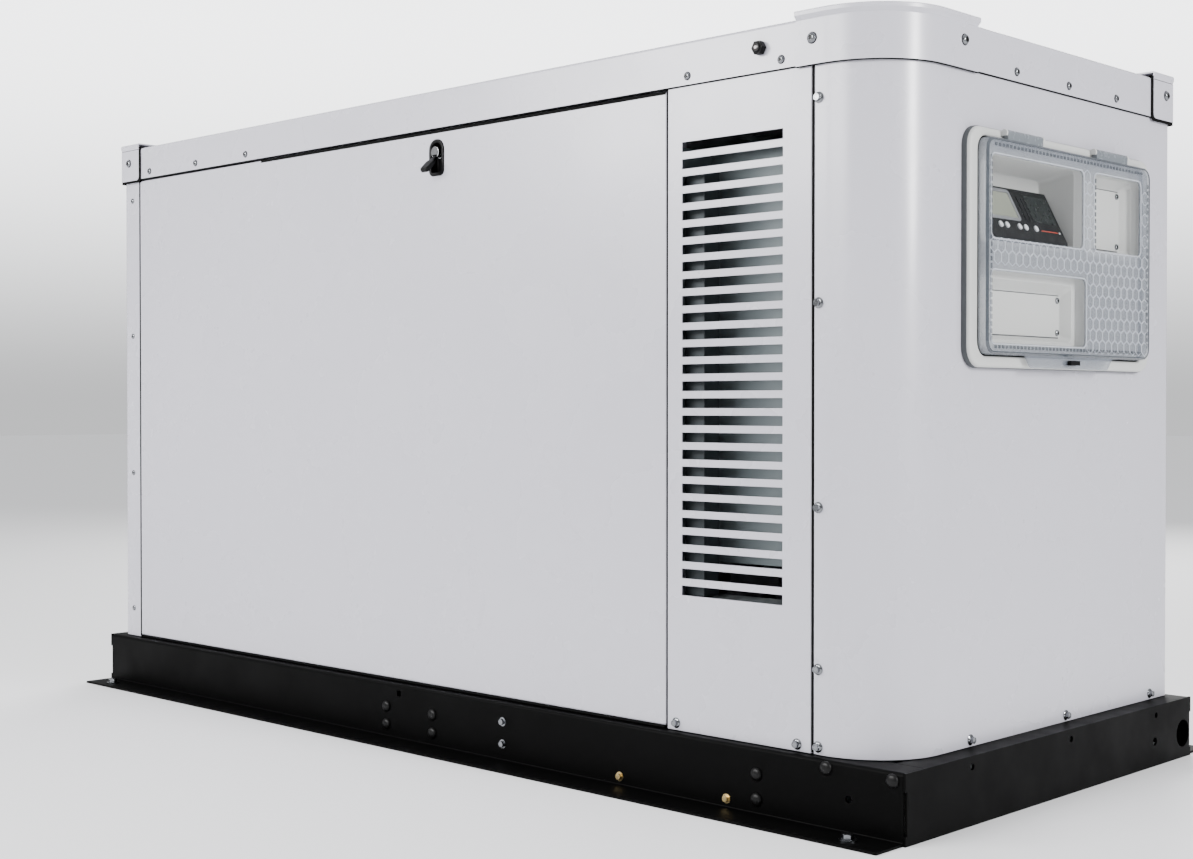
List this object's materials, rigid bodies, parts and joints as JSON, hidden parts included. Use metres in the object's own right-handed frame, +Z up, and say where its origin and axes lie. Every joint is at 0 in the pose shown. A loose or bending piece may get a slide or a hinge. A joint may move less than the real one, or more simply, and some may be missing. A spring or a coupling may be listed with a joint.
{
  "type": "home standby generator",
  "caption": "Enclosed standby generator: engine, radiator and alternator on a steel base, with lift-off side doors, intake louvres and a lidded control window.",
  "frame": {"origin": "on the ground, at the middle of the base", "axes": "+X along the length towards the control end, -Y out of the front door, +Z up"},
  "size_m": [2.0485, 0.982, 1.154],
  "materials": {
    "enclosure_paint": "light grey satin powder coat",
    "base_paint": "satin black powder coat",
    "galvanised_steel": "galvanised sheet",
    "grey_plastic": "light grey moulded plastic, fine grain",
    "clear_plastic": "clear moulded polycarbonate with textured areas",
    "black_plastic": "black moulded plastic, semi-matt",
    "display_glass": "reflective LCD under a clear window",
    "button_plastic": "silver-grey moulded caps",
    "chrome": "polished chrome plate",
    "rubber": "black rubber",
    "cast_iron": "painted grey cast iron",
    "cast_aluminium": "sand-cast aluminium",
    "exhaust_steel": "aluminised steel, heat tinted",
    "radiator_black": "black core paint"
  },
  "bodies": {
    "enclosure": {"base_rail_front": "base_paint", "base_rail_rear": "base_paint", "base_end_control": "base_paint", "base_end_exhaust": "base_paint", "floor_pan": "galvanised_steel", "crossmember_engine": "base_paint", "crossmember_alternator": "base_paint", "post_front_left": "enclosure_paint", "post_rear_left": "enclosure_paint", "post_rear_right": "enclosure_paint", "post_front_centre": "enclosure_paint", "post_rear_centre": "enclosure_paint", "end_panel_control": "enclosure_paint", "end_panel_exhaust": "enclosure_paint", "louvre_panel_front": "enclosure_paint", "louvre_panel_rear": "enclosure_paint", "intake_duct_front": "galvanised_steel", "intake_duct_rear": "galvanised_steel", "roof_panel": "enclosure_paint", "corner_cap_front_right": "enclosure_paint", "corner_cap_rear_right": "enclosure_paint", "corner_cap_front_left": "enclosure_paint", "corner_cap_rear_left": "enclosure_paint", "status_light": "black_plastic", "control_bezel": "grey_plastic", "controller_housing": "black_plastic", "controller_display": "display_glass", "breaker_cover_upper": "grey_plastic", "breaker_cover_lower": "grey_plastic", "engine_block": "cast_iron", "cylinder_head": "cast_aluminium", "exhaust_manifold": "cast_iron", "muffler": "exhaust_steel", "air_cleaner": "black_plastic", "alternator_housing": "cast_aluminium", "radiator_core": "radiator_black", "fan_shroud": "black_plastic", "fan_belt": "rubber", "battery": "black_plastic", "fuel_regulator": "cast_aluminium"},
    "crankshaft": {"crank_pulley": "cast_iron", "alternator_rotor": "cast_iron"},
    "fan": {"cooling_fan": "black_plastic"},
    "lid": {"control_lid": "clear_plastic"},
    "lid_fastener": {"lid_latch": "black_plastic"},
    "seal_front": {"door_seal_front": "rubber"},
    "door_front": {"door_front": "enclosure_paint", "latch_cup_front": "black_plastic"},
    "hub_front": {"latch_hub_front": "chrome"},
    "lever_front": {"latch_lever_front": "black_plastic"},
    "seal_rear": {"door_seal_rear": "rubber"},
    "door_rear": {"door_rear": "enclosure_paint", "latch_cup_rear": "black_plastic"},
    "hub_rear": {"latch_hub_rear": "chrome"},
    "lever_rear": {"latch_lever_rear": "black_plastic"},
    "button_menu_left": {"button_menu_left": "button_plastic"},
    "button_menu_right": {"button_menu_right": "button_plastic"},
    "button_select_down": {"button_select_down": "button_plastic"},
    "button_select_up": {"button_select_up": "button_plastic"},
    "button_enter": {"button_enter": "button_plastic"}
  },
  "joints": [
    {"name": "crank_turn", "type": "hinge", "parent": "enclosure", "child": "crankshaft", "pos_m": [-0.62, 0, 0.33], "axis": [1, 0, 0], "continuous": true},
    {"name": "fan_turn", "type": "hinge", "parent": "enclosure", "child": "fan", "pos_m": [-0.7, 0, 0.5], "axis": [1, 0, 0], "continuous": true},
    {"name": "lid_hinge", "type": "hinge", "parent": "enclosure", "child": "lid", "pos_m": [1.0096, 0.03, 0.993], "axis": [0, -1, 0], "range_deg": [0, 105]},
    {"name": "lid_latch_turn", "type": "hinge", "parent": "lid", "child": "lid_fastener", "pos_m": [1.014, 0.028, 0.66], "axis": [1, 0, 0], "range_deg": [0, 90]},
    {"name": "door_front_tilt", "type": "hinge", "parent": "enclosure", "child": "seal_front", "pos_m": [-0.174, -0.4102, 0.1024], "axis": [1, 0, 0], "range_deg": [0, 15]},
    {"name": "door_front_pull", "type": "slide", "parent": "seal_front", "child": "door_front", "axis": [0, -1, 0], "range_m": [0, 0.3]},
    {"name": "latch_front_turn", "type": "hinge", "parent": "door_front", "child": "hub_front", "pos_m": [0.043, -0.4, 1.036], "axis": [0, -1, 0], "range_deg": [0, 90]},
    {"name": "latch_front_lever", "type": "hinge", "parent": "hub_front", "child": "lever_front", "pos_m": [0.043, -0.4164, 1.0275], "axis": [-1, 0, 0], "range_deg": [-30, 42]},
    {"name": "door_rear_tilt", "type": "hinge", "parent": "enclosure", "child": "seal_rear", "pos_m": [-0.174, 0.4102, 0.1024], "axis": [-1, 0, 0], "range_deg": [0, 15]},
    {"name": "door_rear_pull", "type": "slide", "parent": "seal_rear", "child": "door_rear", "axis": [0, 1, 0], "range_m": [0, 0.3]},
    {"name": "latch_rear_turn", "type": "hinge", "parent": "door_rear", "child": "hub_rear", "pos_m": [0.043, 0.4, 1.036], "axis": [0, 1, 0], "range_deg": [0, 90]},
    {"name": "latch_rear_lever", "type": "hinge", "parent": "hub_rear", "child": "lever_rear", "pos_m": [0.043, 0.4164, 1.0275], "axis": [1, 0, 0], "range_deg": [-30, 42]},
    {"name": "press_menu_left", "type": "slide", "parent": "enclosure", "child": "button_menu_left", "axis": [-0.8899, 0, -0.4561], "range_m": [0, 0.0015], "stiffness_N_per_m": 800},
    {"name": "press_menu_right", "type": "slide", "parent": "enclosure", "child": "button_menu_right", "axis": [-0.8899, 0, -0.4561], "range_m": [0, 0.0015], "stiffness_N_per_m": 800},
    {"name": "press_select_down", "type": "slide", "parent": "enclosure", "child": "button_select_down", "axis": [-0.8899, 0, -0.4561], "range_m": [0, 0.0015], "stiffness_N_per_m": 800},
    {"name": "press_select_up", "type": "slide", "parent": "enclosure", "child": "button_select_up", "axis": [-0.8899, 0, -0.4561], "range_m": [0, 0.0015], "stiffness_N_per_m": 800},
    {"name": "press_enter", "type": "slide", "parent": "enclosure", "child": "button_enter", "axis": [-0.8899, 0, -0.4561], "range_m": [0, 0.0015], "stiffness_N_per_m": 800}
  ],
  "couplings": [
    {"joint": "fan_turn", "follows": "crank_turn", "ratio": 1.2903}
  ]
}
